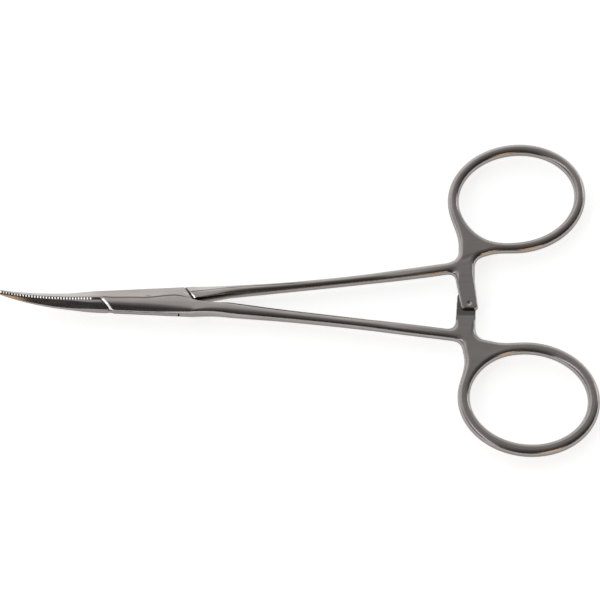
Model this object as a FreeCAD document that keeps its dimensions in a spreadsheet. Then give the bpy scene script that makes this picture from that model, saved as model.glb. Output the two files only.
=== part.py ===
"""Curved haemostat forceps, 125 mm long, with a box lock and a finger ratchet.

X runs from the jaw tips to the finger rings, Y across the instrument, Z up.
The origin is on the pivot axis, at the underside of the box.
One half is upper jaw, box and lower shank; the other half is lower jaw, a thin
blade that passes through the box, and upper shank. A rivet holds them together.
"""
import FreeCAD, Part
import math
import os
import Sketcher

doc = FreeCAD.newDocument("forceps")

# Driving dimensions, in millimetres and degrees
DIMENSIONS = [
    ("box_thickness", 4.2, "thickness of the box, from underside to face"),
    ("box_end", 9.6, "from the pivot to the roots of the jaws and of the shanks"),
    ("box_half_jaw", 2.13, "half width of the box at the jaw end"),
    ("box_half_shank", 3.05, "half width of the box at the shank end"),
    ("wall_share", 0.49, "share of the thickness that stands upright at the sides"),
    ("crease_upper", 0.15, "where the upper bevel starts, as a share of the half width"),
    ("crease_lower_jaw", 0.42, "where the lower bevel starts, at the jaw end"),
    ("crease_lower_shank", 0.85, "where the lower bevel starts, at the shank end"),
    ("cheek_far", 9.35, "from the pivot to the cheek's corner at the middle line"),
    ("cheek_near", 7.5, "from the pivot to the cheek's corner at the side"),
    ("cheek_side", 2.8, "from the middle line to the cheek's corner at the side"),
    ("shoulder_gap", 0.3, "gap between a cheek's end and the other half's shoulder"),
    ("slot_far", 9.3, "from the pivot to the slot's end wall at the middle line"),
    ("slot_near", 6.85, "from the pivot to the slot's end wall at the side"),
    ("slot_side", 2.6, "height of the slot's end wall above the middle line"),
    ("blade_thickness", 1.3, "thickness of the blade in the box"),
    ("blade_clearance", 0.05, "running clearance over and under the blade"),
    ("blade_end_gap", 0.35, "gap between the blade and the slot's end walls"),
    ("pin_radius", 1.0, "radius of the rivet"),
    ("pin_running", 0.05, "clearance of the blade's hole round the rivet"),
    ("jaw_reach", 30.8, "from the pivot to the jaw tips"),
    ("tip_half", 0.57, "half width of the closed tips"),
    ("tip_thickness", 0.9, "thickness of a jaw at its tip"),
    ("jaw_bulge", 0.55, "how far the jaw's side bows out"),
    ("curve_start", 13.2, "from the pivot to where the jaws start to curve up"),
    ("curve_radius", 30.0, "radius of the jaws' upward curve"),
    ("gap_root", 0.1, "from the middle line to a jaw's face, at the box"),
    ("gap_tip", 0.03, "from the middle line to a jaw's face, at the tip"),
    ("tooth_pitch", 0.646, "pitch of the jaw serrations"),
    ("tooth_depth", 0.24, "depth of the jaw serrations"),
    ("tooth_share", 0.94, "share of the pitch that a serration's cut takes"),
    ("teeth_start", 11.4, "from the pivot to the first serration"),
    ("root_reach", 6.5, "how near the pivot the roots start, before the shoulders are cut"),
    ("shank_gap", 0.05, "from the middle line to a shank's inner side, at the box"),
    ("neck_place", 18.0, "from the pivot to the neck of the shanks"),
    ("mid_place", 27.5, "from the pivot to the upper middle of the shanks"),
    ("waist_place", 40.0, "from the pivot to the waist of the shanks"),
    ("shank_end", 58.5, "from the pivot to where the shanks run into the handles"),
    ("neck_thickness", 3.6, "shank thickness at the neck"),
    ("mid_thickness", 3.0, "shank thickness at the upper middle"),
    ("waist_thickness", 2.8, "thickness of the lower shanks"),
    ("ring_thickness", 2.8, "thickness of the finger rings"),
    ("web_thickness", 2.66, "thickness of the web and of the ratchet arm's root"),
    ("arm_reach", 2.0, "how far an arm passes the middle line"),
    ("arm_step", 4.33, "from the middle line to the arm's full thickness"),
    ("arm_gap", 0.1, "gap between the two arms"),
    ("rack_pitch", 1.5, "pitch of the ratchet teeth"),
    ("rack_depth", 0.45, "depth of the ratchet teeth"),
    ("rack_share", 0.9, "share of the pitch that a ratchet tooth's cut takes"),
    ("rack_start", 0.55, "from an arm's end to its first tooth"),
    ("arm_corner", 0.5, "rounding of the corners at an arm's end"),
    ("handle_round", 0.9, "rounding of the handles' long edges"),
    ("crotch_outer", 2.6, "blend from the shank's outer side to the ring"),
    ("crotch_inner", 1.2, "blend from the shank's inner side to the arm"),
    ("crotch_ring", 2.2, "blend from the arm to the ring"),
]

# The two halves differ a little, as hand-finished ones do
HALF_DIMENSIONS = {
    "blade": [
        ("root_bevel", 1.5, "width of the outer bevel at the shank's root"),
        ("neck_bevel", 0.85, "width of the outer bevel at the neck"),
        ("neck_half", 1.24, "half width of the neck"),
        ("mid_half", 1.05, "half width of the upper middle"),
        ("waist_half", 1.0, "half width of the waist"),
        ("end_half", 1.2, "half width at the handle"),
        ("neck_offset", 2.32, "from the middle line to the neck's centre"),
        ("spread", 0.0765, "how fast the shanks part at the neck"),
        ("bow", 0.00085, "how fast they part more"),
        ("ring_x", 76.87, "ring centre along the instrument"),
        ("ring_y", 23.2, "ring centre from the middle line"),
        ("ring_long", 13.2, "long half axis of the ring's centre line"),
        ("ring_short", 10.84, "short half axis of the ring's centre line"),
        ("ring_tilt", 7.5, "tilt of the ring's long axis"),
        ("ring_half", 1.2, "half width of the ring's band"),
        ("throat_x", 64.9, "corner between the shank's outer side and the ring"),
        ("throat_y", 9.5, "that corner, from the middle line"),
        ("heel_y", 8.7, "corner between the arm and the ring, from the middle line"),
        ("arm_left", 64.2, "from the pivot to the arm's near side, at its step"),
        ("arm_width", 3.95, "width of the ratchet arm at its step"),
        ("arm_end_left", 65.3, "from the pivot to the arm's near side, at its end"),
        ("arm_end_width", 3.6, "width of the ratchet arm at its end"),
    ],
    "box": [
        ("neck_bevel", 0.7, "width of the outer bevel at the neck"),
        ("neck_half", 1.5, "half width of the neck"),
        ("mid_half", 1.28, "half width of the upper middle"),
        ("waist_half", 1.16, "half width of the waist"),
        ("end_half", 1.2, "half width at the handle"),
        ("neck_offset", 2.02, "from the middle line to the neck's centre"),
        ("spread", 0.105, "how fast the shanks part at the neck"),
        ("bow", 0.0003, "how fast they part more"),
        ("ring_x", 79.3, "ring centre along the instrument"),
        ("ring_y", 21.75, "ring centre from the middle line"),
        ("ring_long", 13.56, "long half axis of the ring's centre line"),
        ("ring_short", 11.3, "short half axis of the ring's centre line"),
        ("ring_tilt", 7.8, "tilt of the ring's long axis"),
        ("ring_half", 1.33, "half width of the ring's band"),
        ("throat_x", 65.9, "corner between the shank's outer side and the ring"),
        ("throat_y", 9.4, "that corner, from the middle line"),
        ("heel_y", 7.3, "corner between the arm and the ring, from the middle line"),
        ("arm_left", 64.1, "from the pivot to the arm's near side, at its step"),
        ("arm_width", 4.15, "width of the ratchet arm at its step"),
        ("arm_end_left", 64.5, "from the pivot to the arm's near side, at its end"),
        ("arm_end_width", 3.9, "width of the ratchet arm at its end"),
    ],
}

sheet = doc.addObject("Spreadsheet::Sheet", "Dims")
rows = list(DIMENSIONS)
for half, entries in HALF_DIMENSIONS.items():
    rows += [(half + "_" + name, value, note) for name, value, note in entries]
for row, (name, value, note) in enumerate(rows, start=1):
    sheet.set("A%d" % row, note)
    sheet.set("B%d" % row, str(value))
    sheet.setAlias("B%d" % row, name)
doc.recompute()


def size(name):
    """The number in a cell of the sheet."""
    return float(sheet.get(name))


MIDDLE = "(Dims.box_thickness / 2)"


def origin_plane(body, role):
    """One of the body's own base planes."""
    return next(item for item in body.Origin.OriginFeatures if item.Role == role)


def new_body(label):
    body = doc.addObject("PartDesign::Body", label)
    body.Label = label
    return body


def new_sketch(body, name, role, shift=("0", "0", "0"), turn=None):
    """A sketch on a base plane, moved by shift and turned about its own Y or Z axis."""
    sketch = body.newObject("Sketcher::SketchObject", name)
    sketch.AttachmentSupport = (origin_plane(body, role), "")
    sketch.MapMode = "FlatFace"
    if turn:
        axis, angle = turn
        sketch.AttachmentOffset = FreeCAD.Placement(FreeCAD.Vector(), FreeCAD.Rotation(axis, 1.0))
        sketch.setExpression("AttachmentOffset.Rotation.Angle", angle)
    for letter, expression in zip("xyz", shift):
        sketch.setExpression("AttachmentOffset.Base." + letter, expression)
    return sketch


def bind(sketch, kind, *place, expression):
    """A constraint whose size follows an expression."""
    value = float(sketch.evalExpression(expression))
    index = sketch.addConstraint(Sketcher.Constraint(kind, *place, value))
    sketch.setExpression("Constraints[%d]" % index, expression)


def draw_outline(sketch, corners):
    """A closed outline of straight lines whose corners follow expressions."""
    points = [FreeCAD.Vector(float(sketch.evalExpression(across)), float(sketch.evalExpression(up)), 0)
              for across, up in corners]
    count = len(points)
    first = sketch.GeometryCount
    for index in range(count):
        line = Part.LineSegment(points[index], points[(index + 1) % count])
        sketch.addGeometry(line, False)
    for index in range(count):
        follower = first + (index + 1) % count
        sketch.addConstraint(Sketcher.Constraint("Coincident", first + index, 2, follower, 1))
    for index, (across, up) in enumerate(corners, start=first):
        bind(sketch, "DistanceX", -1, 1, index, 1, expression=across)
        bind(sketch, "DistanceY", -1, 1, index, 1, expression=up)


def draw_ellipse(sketch, centre_x, half_x, half_y, long_is_x):
    """An ellipse whose axes lie along the sketch's own axes."""
    start_x = float(sketch.evalExpression(centre_x))
    across = float(sketch.evalExpression(half_x))
    up = float(sketch.evalExpression(half_y))
    middle = FreeCAD.Vector(start_x, 0, 0)
    end_x = FreeCAD.Vector(start_x + across, 0, 0)
    end_y = FreeCAD.Vector(start_x, up, 0)
    ends = (end_x, end_y) if long_is_x else (end_y, end_x)
    sketch.addGeometry(Part.Ellipse(ends[0], ends[1], middle), False)
    sketch.exposeInternalGeometry(0)
    bind(sketch, "DistanceX", -1, 1, 0, 3, expression=centre_x)
    sketch.addConstraint(Sketcher.Constraint("PointOnObject", 0, 3, -1))
    long_kind = "Horizontal" if long_is_x else "Vertical"
    sketch.addConstraint(Sketcher.Constraint(long_kind, 1))
    long_half, short_half = (half_x, half_y) if long_is_x else (half_y, half_x)
    bind(sketch, "Distance", 1, expression="2 * (%s)" % long_half)
    bind(sketch, "Distance", 2, expression="2 * (%s)" % short_half)


def draw_circle(sketch, radius):
    """A circle round the sketch's own origin."""
    start = float(sketch.evalExpression(radius))
    sketch.addGeometry(Part.Circle(FreeCAD.Vector(), FreeCAD.Vector(0, 0, 1), start), False)
    sketch.addConstraint(Sketcher.Constraint("Coincident", 0, 3, -1, 1))
    bind(sketch, "Radius", 0, expression=radius)


def loft(body, name, sections, ruled=False):
    feature = body.newObject("PartDesign::AdditiveLoft", name)
    feature.Profile = sections[0]
    feature.Sections = sections[1:]
    feature.Ruled = ruled
    doc.recompute()
    return feature


def pad(body, name, sketch, length, midplane=False, reverse=False):
    feature = body.newObject("PartDesign::Pad", name)
    feature.Profile = sketch
    feature.setExpression("Length", length)
    feature.Midplane = midplane
    feature.Reversed = reverse
    doc.recompute()
    return feature


def pocket(body, name, sketch, length, midplane=True, upward=False):
    """A pocket of the given length, with the removed volume checked."""
    before = body.Shape.Volume
    feature = body.newObject("PartDesign::Pocket", name)
    feature.Profile = sketch
    feature.setExpression("Length", length)
    feature.Midplane = midplane
    feature.Reversed = upward
    doc.recompute()
    if feature.Shape.Volume >= before:
        raise RuntimeError(name + " removes nothing")
    return feature


def fillet(body, name, base, edges, radius):
    feature = body.newObject("PartDesign::Fillet", name)
    feature.Base = (base, edges)
    feature.setExpression("Radius", radius)
    doc.recompute()
    return feature


def upright_edges(shape, places, reach=0.3):
    """Names of the edges along Z that stand at the given (x, y) places."""
    names = []
    for number, edge in enumerate(shape.Edges, start=1):
        box = edge.BoundBox
        if box.ZLength < 0.1 or box.XLength > 0.01 or box.YLength > 0.01:
            continue
        if any(math.hypot(box.XMin - x, box.YMin - y) < reach for x, y in places):
            names.append("Edge%d" % number)
    return names


def level_edges(shape, heights):
    """Names of the edges that lie flat at one of the given heights."""
    names = []
    for number, edge in enumerate(shape.Edges, start=1):
        box = edge.BoundBox
        if box.ZLength < 0.01 and any(abs(box.ZMin - height) < 0.01 for height in heights):
            names.append("Edge%d" % number)
    return names


# The bar that jaw, box and shank are forged from

def flank(side, inner, crease, outer, half, wall):
    """Half of the bar's section, as (y, z) corners: flat face, bevel, upright side."""
    top = "(%s + %s)" % (MIDDLE, half)
    bottom = "(%s - %s)" % (MIDDLE, half)
    corners = [(inner, top), (crease, top), (outer, "%s + %s" % (MIDDLE, wall)),
               (outer, "%s - %s" % (MIDDLE, wall)), (crease, bottom), (inner, bottom)]
    return [("%d * (%s)" % (side, y), z) for y, z in corners]


def box_half_at(place):
    """Half width of the tapering box at a distance from the pivot."""
    return ("(Dims.box_half_jaw + (Dims.box_half_shank - Dims.box_half_jaw)"
            " * (%s + Dims.box_end) / (2 * Dims.box_end))" % place)


def box_section(body, name, place, lower_crease):
    """The whole section of the box: flat faces, a wide upper and a narrower lower bevel."""
    sketch = new_sketch(body, name, "YZ_Plane", ("0", "0", place))
    outer = box_half_at(place)
    half = "Dims.box_thickness / 2"
    wall = "Dims.wall_share * Dims.box_thickness / 2"
    upper = flank(1, "0", "Dims.crease_upper * " + outer, outer, half, wall)[1:5]
    lower = flank(-1, "0", lower_crease + " * " + outer, outer, half, wall)[1:5]
    draw_outline(sketch, upper + lower[::-1])
    return sketch


def jaw_section(body, name, side, share, crease):
    """Section of a jaw; share runs from 0 at the tip to 1 at the box."""
    reach = "(Dims.jaw_reach - %s * (Dims.jaw_reach - Dims.box_end))" % share
    past = "max(0; %s - Dims.curve_start)" % reach
    rise = "(Dims.curve_radius - sqrt(Dims.curve_radius ^ 2 - (%s) ^ 2))" % past
    outer = ("(Dims.tip_half + (Dims.box_half_jaw - Dims.tip_half) * %s + Dims.jaw_bulge * %s * (1 - %s))"
             % (share, share, share))
    half = ("((Dims.tip_thickness + (Dims.box_thickness - Dims.tip_thickness) * sin(90 * %s)) / 2)"
            % share)
    inner = "(Dims.gap_tip + (Dims.gap_root - Dims.gap_tip) * %s)" % share
    sketch = new_sketch(body, name, "YZ_Plane", ("0", "0", "-" + reach))
    corners = flank(side, inner, "%s * %s" % (crease, outer), outer, half, "Dims.wall_share * " + half)
    draw_outline(sketch, [(y, "%s + %s" % (z, rise)) for y, z in corners])
    return sketch


JAW_SHARES = (0.0, 0.12, 0.28, 0.45, 0.62, 0.8, 1.0)


def jaw(body, side, crease):
    sections = [jaw_section(body, "JawSection%d" % number, side, share, crease)
                for number, share in enumerate(JAW_SHARES)]
    return loft(body, "Jaw", sections)


def shank_centre(half, place):
    """Distance of a shank's centre line from the middle line."""
    past = "(%s - Dims.neck_place)" % place
    return ("(Dims.{0}_neck_offset + Dims.{0}_spread * {1} + Dims.{0}_bow * {1} ^ 2)"
            .format(half, past))


def shank_section(body, name, side, place, inner, outer, inner_bevel, outer_bevel, thickness):
    """Eight-sided section of a shank, with a bevel of its own on each side."""
    sketch = new_sketch(body, name, "YZ_Plane", ("0", "0", place))
    top = "%s + %s / 2" % (MIDDLE, thickness)
    bottom = "%s - %s / 2" % (MIDDLE, thickness)
    wall = "Dims.wall_share * %s / 2" % thickness
    upper_wall = "%s + %s" % (MIDDLE, wall)
    lower_wall = "%s - %s" % (MIDDLE, wall)
    corners = [
        ("%s + %s" % (inner, inner_bevel), top), ("%s - %s" % (outer, outer_bevel), top),
        (outer, upper_wall), (outer, lower_wall),
        ("%s - %s" % (outer, outer_bevel), bottom), ("%s + %s" % (inner, inner_bevel), bottom),
        (inner, lower_wall), (inner, upper_wall),
    ]
    draw_outline(sketch, [("%d * (%s)" % (side, y), z) for y, z in corners])
    return sketch


def shank(body, side, half, root_bevel):
    """A shank from its root at the box to the handle."""
    own = "Dims.%s_" % half
    root = shank_section(body, "ShankSectionRoot", side, "Dims.box_end", "Dims.shank_gap",
                         "Dims.box_half_shank", "Dims.shank_gap", root_bevel, "Dims.box_thickness")
    sections = [root]
    for name, bevel in (("neck", own + "neck_bevel"), ("mid", None), ("waist", None), ("end", None)):
        place = "Dims.shank_end" if name == "end" else "Dims.%s_place" % name
        thickness = "Dims.%s_thickness" % ("web" if name == "end" else name)
        width = own + name + "_half"
        bevel = bevel or "0.55 * " + width
        centre = shank_centre(half, place)
        sections.append(shank_section(body, "ShankSection" + name.capitalize(), side, place,
                                      "(%s - %s)" % (centre, width), "(%s + %s)" % (centre, width),
                                      "0.5 * " + width, bevel, thickness))
    return loft(body, "Shank", sections)


# The handle: ring, web and ratchet arm

def ring_point(half, angle):
    """A point of the ring's centre line, as (x, distance from the middle line)."""
    parts = dict(own="Dims.%s_" % half, cos=math.cos(math.radians(angle)),
                 sin=math.sin(math.radians(angle)))
    x = ("({own}ring_x + {own}ring_long * {cos:.4f} * cos({own}ring_tilt)"
         " - {own}ring_short * {sin:.4f} * sin({own}ring_tilt))").format(**parts)
    y = ("({own}ring_y + {own}ring_long * {cos:.4f} * sin({own}ring_tilt)"
         " + {own}ring_short * {sin:.4f} * cos({own}ring_tilt))").format(**parts)
    return x, y


WEB_ANGLES = (265, 250, 235, 220, 205, 192)


def place_of(sketch, side, corner):
    """A corner's expressions worked out as numbers."""
    return (float(sketch.evalExpression(corner[0])),
            side * float(sketch.evalExpression(corner[1])))


def runs_between(edge, chords):
    """Whether a flat edge lies along one of the given chords."""
    middle = edge.valueAt((edge.FirstParameter + edge.LastParameter) / 2)
    for (x1, y1), (x2, y2) in chords:
        line = Part.LineSegment(FreeCAD.Vector(x1, y1, middle.z), FreeCAD.Vector(x2, y2, middle.z))
        if line.toShape().distToShape(Part.Vertex(middle))[0] < 0.02:
            return True
    return False


def web(body, side, half):
    """The flat web where shank, ring and ratchet arm meet, with rounded edges."""
    own = "Dims.%s_" % half
    centre = shank_centre(half, "Dims.shank_end")
    under = "(%s - %send_half)" % (centre, own)
    over = "(%s + %send_half)" % (centre, own)
    near = own + "arm_left"
    far = "(%sarm_left + %sarm_width)" % (own, own)
    crotch = (near, under)
    heel = (far, own + "heel_y")
    throat = (own + "throat_x", own + "throat_y")
    seam = [ring_point(half, angle) for angle in WEB_ANGLES]
    start_low, start_high = ("Dims.shank_end", under), ("Dims.shank_end", over)
    step_near, step_far = (near, "Dims.arm_step"), (far, "Dims.arm_step")
    corners = [start_low, crotch, step_near, step_far, heel] + seam + [throat, start_high]
    sketch = new_sketch(body, "WebSketch", "XY_Plane", ("0", "0", MIDDLE))
    draw_outline(sketch, [(x, "%d * (%s)" % (side, y)) for x, y in corners])
    plate = pad(body, "Web", sketch, "Dims.web_thickness", midplane=True)

    for name, corner, radius in (("InnerCrotch", crotch, "Dims.crotch_inner"),
                                 ("Heel", heel, "Dims.crotch_ring"),
                                 ("Throat", throat, "Dims.crotch_outer")):
        place = place_of(sketch, side, corner)
        plate = fillet(body, name, plate, upright_edges(plate.Shape, [place]), radius)
    hidden = list(zip(seam, seam[1:])) + [(start_low, start_high)]
    chords = [tuple(place_of(sketch, side, corner) for corner in pair) for pair in hidden]
    middle = size("box_thickness") / 2
    rim = size("web_thickness") / 2
    edges = [name for name in level_edges(plate.Shape, (middle - rim, middle + rim))
             if not runs_between(plate.Shape.getElement(name), chords)]
    return fillet(body, "WebRounding", plate, edges, "Dims.handle_round")


def ring(body, side, half):
    """The finger ring: an oval band swept round an ellipse."""
    own = "Dims.%s_" % half
    path = new_sketch(body, "RingPath", "XY_Plane",
                      (own + "ring_x", "%d * %sring_y" % (side, own), MIDDLE),
                      (FreeCAD.Vector(0, 0, 1), "%d * %sring_tilt" % (side, own)))
    draw_ellipse(path, "0", own + "ring_long", own + "ring_short", True)
    band = new_sketch(body, "RingBand", "XZ_Plane",
                      (own + "ring_x", MIDDLE, "%d * %sring_y" % (-side, own)),
                      (FreeCAD.Vector(0, 1, 0), "%d * %sring_tilt" % (side, own)))
    draw_ellipse(band, own + "ring_long", own + "ring_half", "Dims.ring_thickness / 2", False)
    feature = body.newObject("PartDesign::AdditivePipe", "Ring")
    feature.Profile = band
    feature.Spine = (path, ["Edge1"])
    doc.recompute()
    return feature


RACK_TEETH = 3


def ratchet_arm(body, side, half):
    """The half-thick end of a ratchet arm, with its rack of teeth on the inner face."""
    own = "Dims.%s_" % half
    face = "(%s + %d * Dims.arm_gap / 2)" % (MIDDLE, side)
    root = "(Dims.arm_step + 0.5 * Dims.web_thickness)"
    end = "(-Dims.arm_reach)"
    corners = [(own + "arm_left", root), (own + "arm_left + %sarm_width" % own, root),
               (own + "arm_left + %sarm_width" % own, "Dims.arm_step"),
               (own + "arm_end_left + %sarm_end_width" % own, end),
               (own + "arm_end_left", end), (own + "arm_left", "Dims.arm_step")]
    sketch = new_sketch(body, "ArmSketch", "XY_Plane", ("0", "0", face))
    draw_outline(sketch, [(x, "%d * %s" % (side, y)) for x, y in corners])
    arm = pad(body, "Arm", sketch, "(Dims.web_thickness - Dims.arm_gap) / 2", reverse=side < 0)
    tips = [place_of(sketch, side, corner) for corner in corners[3:5]]
    fillet(body, "ArmCorners", arm, upright_edges(arm.Shape, tips), "Dims.arm_corner")

    middle = "(%sarm_left + %sarm_width / 2)" % (own, own)
    rack = new_sketch(body, "RackSketch", "YZ_Plane", ("0", "0", middle))
    for number in range(RACK_TEETH):
        low = "(Dims.rack_start - Dims.arm_reach + %d * Dims.rack_pitch)" % number
        high = "(%s + Dims.rack_share * Dims.rack_pitch)" % low
        tooth = [(low, face), (high, face), (high, "%s + %d * Dims.rack_depth" % (face, side))]
        draw_outline(rack, [("%d * %s" % (side, y), z) for y, z in tooth])
    pocket(body, "Rack", rack, "3 * %sarm_width" % own)


# The lock

PAST_SIDE = "(Dims.box_half_shank + 1)"
PAST_END = "(Dims.box_end + 1)"


def end_line(far, near, height, sign):
    """A slanted end line, from the middle line out past the side of the box."""
    run = "({far} - ({far} - {near}) * {past} / {height})".format(
        far=far, near=near, past=PAST_SIDE, height=height)
    start = ("%d * %s" % (sign, far), "0")
    end = ("%d * %s" % (sign, run), "%d * %s" % (sign, PAST_SIDE))
    return start, end


def free_quarters(body):
    """Cuts the box back where the other half's jaw and shank come out of it."""
    for name, sign, gap in (("JawSide", -1, "Dims.gap_root"), ("ShankSide", 1, "Dims.shank_gap")):
        start, end = end_line("Dims.cheek_far", "Dims.cheek_near", "Dims.cheek_side", sign)
        level = "%d * %s" % (-sign, gap)
        corners = [start, end, ("%d * %s" % (sign, PAST_END), end[1]),
                   ("%d * %s" % (sign, PAST_END), level), (start[0], level)]
        sketch = new_sketch(body, name + "Sketch", "XY_Plane", ("0", "0", MIDDLE))
        draw_outline(sketch, corners)
        pocket(body, name, sketch, "2 * Dims.box_thickness")


def slot(body):
    """The slot between the cheeks, open on both sides for the blade to swing through."""
    jaw_start, jaw_end = end_line("Dims.slot_far", "Dims.slot_near", "Dims.slot_side", -1)
    shank_start, shank_end = end_line("Dims.slot_far", "Dims.slot_near", "Dims.slot_side", 1)
    past = PAST_END
    corners = [
        ("-" + past, "Dims.gap_root"), (jaw_start[0], "Dims.gap_root"),
        (jaw_end[0], "-1 * (%s)" % jaw_end[1]), (past, PAST_SIDE),
        (past, "-Dims.shank_gap"), (shank_start[0], "-Dims.shank_gap"),
        (shank_end[0], "-1 * (%s)" % shank_end[1]), ("-" + past, "-" + PAST_SIDE),
    ]
    sketch = new_sketch(body, "SlotSketch", "XY_Plane", ("0", "0", MIDDLE))
    draw_outline(sketch, corners)
    pocket(body, "Slot", sketch, "Dims.blade_thickness + 2 * Dims.blade_clearance")


def blade(body):
    """The thin blade in the slot, flush with the sides of the box."""
    far = "(Dims.slot_far - Dims.blade_end_gap)"
    slope = "((Dims.slot_far - Dims.slot_near) / Dims.slot_side)"
    taper = "((Dims.box_half_shank - Dims.box_half_jaw) / (2 * Dims.box_end))"
    jaw_side = ("((Dims.box_half_jaw + {taper} * (Dims.box_end - {far})) / (1 - {taper} * {slope}))"
                .format(taper=taper, far=far, slope=slope))
    shank_side = ("((Dims.box_half_jaw + {taper} * (Dims.box_end + {far})) / (1 + {taper} * {slope}))"
                  .format(taper=taper, far=far, slope=slope))
    corners = [
        ("-Dims.box_end", "-Dims.gap_root"), ("-" + far, "-Dims.gap_root"),
        ("-(%s - %s * %s)" % (far, slope, jaw_side), jaw_side),
        ("Dims.box_end", "Dims.box_half_shank"), ("Dims.box_end", "Dims.shank_gap"),
        (far, "Dims.shank_gap"),
        ("%s - %s * %s" % (far, slope, shank_side), "-" + shank_side),
        ("-Dims.box_end", "-Dims.box_half_jaw"),
    ]
    sketch = new_sketch(body, "BladeSketch", "XY_Plane", ("0", "0", MIDDLE))
    draw_outline(sketch, corners)
    return pad(body, "Blade", sketch, "Dims.blade_thickness", midplane=True)


def lock_root(body, name, side, sign, gap, crease):
    """The stretch of a jaw or shank that reaches back to its shoulder at the cheek."""
    sections = []
    for number, place in enumerate(("%d * Dims.box_end" % sign, "%d * Dims.root_reach" % sign)):
        sketch = new_sketch(body, "%sSection%d" % (name, number), "YZ_Plane", ("0", "0", place))
        outer = box_half_at(place)
        draw_outline(sketch, flank(side, gap, crease(outer), outer, "Dims.box_thickness / 2",
                                   "Dims.wall_share * Dims.box_thickness / 2"))
        sections.append(sketch)
    return loft(body, name, sections, ruled=True)


def shoulders(body):
    """Mills the blade free above and below, back to the two shoulders."""
    far = "(Dims.cheek_far + Dims.shoulder_gap)"
    near = "(Dims.cheek_near + Dims.shoulder_gap)"
    jaw_start, jaw_end = end_line(far, near, "Dims.cheek_side", -1)
    shank_start, shank_end = end_line(far, near, "Dims.cheek_side", 1)
    corners = [(jaw_start[0], PAST_SIDE), jaw_start, jaw_end,
               (shank_start[0], "-" + PAST_SIDE), shank_start, shank_end]
    for name, sign in (("FrontShoulders", 1), ("RearShoulders", -1)):
        height = "%s + %d * Dims.blade_thickness / 2" % (MIDDLE, sign)
        sketch = new_sketch(body, name + "Sketch", "XY_Plane", ("0", "0", height))
        draw_outline(sketch, corners)
        pocket(body, name, sketch, "Dims.box_thickness", midplane=False, upward=sign > 0)


def pin_hole(body, radius):
    sketch = new_sketch(body, "PinHoleSketch", "XY_Plane", ("0", "0", MIDDLE))
    draw_circle(sketch, radius)
    pocket(body, "PinHole", sketch, "2 * Dims.box_thickness")


# The serrations

def serrations(body, side):
    """Grooves across a jaw's face, square to the jaw's curve."""
    half_pitch = "Dims.tooth_share * Dims.tooth_pitch / 2"
    sketch = new_sketch(body, "GrooveSketch", "XY_Plane", ("0", "0", MIDDLE))
    corners = [("-Dims.curve_start - " + half_pitch, "0"), ("-Dims.curve_start + " + half_pitch, "0"),
               ("-Dims.curve_start", "%d * (Dims.gap_root + Dims.tooth_depth)" % side)]
    draw_outline(sketch, corners)
    groove = pocket(body, "Groove", sketch, "1.5 * Dims.box_thickness")

    straight = body.newObject("PartDesign::LinearPattern", "StraightGrooves")
    straight.Originals = [groove]
    straight.Direction = (sketch, ["H_Axis"])
    count = "floor((Dims.curve_start - Dims.teeth_start) / Dims.tooth_pitch)"
    straight.setExpression("Occurrences", count + " + 1")
    straight.setExpression("Length", "%s * Dims.tooth_pitch" % count)
    body.Tip = straight
    doc.recompute()

    hub = new_sketch(body, "CurveCentre", "XZ_Plane",
                     ("-Dims.curve_start", MIDDLE + " + Dims.curve_radius", "0"))
    arc = "(asin((Dims.jaw_reach - Dims.curve_start) / Dims.curve_radius) / (1 deg) * pi / 180)"
    count = "floor(%s * Dims.curve_radius / Dims.tooth_pitch - 0.7)" % arc
    curved = body.newObject("PartDesign::PolarPattern", "CurvedGrooves")
    curved.Originals = [groove]
    curved.Axis = (hub, ["N_Axis"])
    curved.Reversed = True
    curved.setExpression("Occurrences", count + " + 1")
    curved.setExpression("Angle", "%s * Dims.tooth_pitch / Dims.curve_radius * 180 / pi" % count)
    body.Tip = curved
    doc.recompute()
    return curved


def female_half():
    """Upper jaw, box, lower shank and lower handle."""
    body = new_body("female_half")
    web(body, -1, "box")
    ring(body, -1, "box")
    shank(body, -1, "box", "((1 - Dims.crease_lower_shank) * Dims.box_half_shank)")
    ratchet_arm(body, -1, "box")
    loft(body, "Box", [box_section(body, "BoxSectionJaw", "-Dims.box_end", "Dims.crease_lower_jaw"),
                       box_section(body, "BoxSectionShank", "Dims.box_end", "Dims.crease_lower_shank")],
         ruled=True)
    jaw(body, 1, "Dims.crease_upper")
    free_quarters(body)
    slot(body)
    pin_hole(body, "Dims.pin_radius")
    serrations(body, 1)
    return body


def male_half():
    """Lower jaw, blade, upper shank and upper handle."""
    body = new_body("male_half")
    web(body, 1, "blade")
    ring(body, 1, "blade")
    shank(body, 1, "blade", "Dims.blade_root_bevel")
    ratchet_arm(body, 1, "blade")
    lock_root(body, "ShankRoot", 1, 1, "Dims.shank_gap",
              lambda outer: "%s - Dims.blade_root_bevel" % outer)
    blade(body)
    lock_root(body, "JawRoot", -1, -1, "Dims.gap_root",
              lambda outer: "Dims.crease_lower_jaw * " + outer)
    jaw(body, -1, "Dims.crease_lower_jaw")
    shoulders(body)
    pin_hole(body, "Dims.pin_radius + Dims.pin_running")
    serrations(body, -1)
    return body


def pivot_pin():
    """The rivet, ground flush with both cheeks."""
    body = new_body("pivot_pin")
    sketch = new_sketch(body, "PinSketch", "XY_Plane")
    draw_circle(sketch, "Dims.pin_radius")
    pad(body, "Pin", sketch, "Dims.box_thickness")
    return body


pieces = [female_half(), male_half(), pivot_pin()]
doc.recompute()

failed = [item.Name for item in doc.Objects if "Invalid" in item.State or "Error" in item.State]
if failed:
    raise RuntimeError("failed objects: " + ", ".join(failed))

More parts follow.
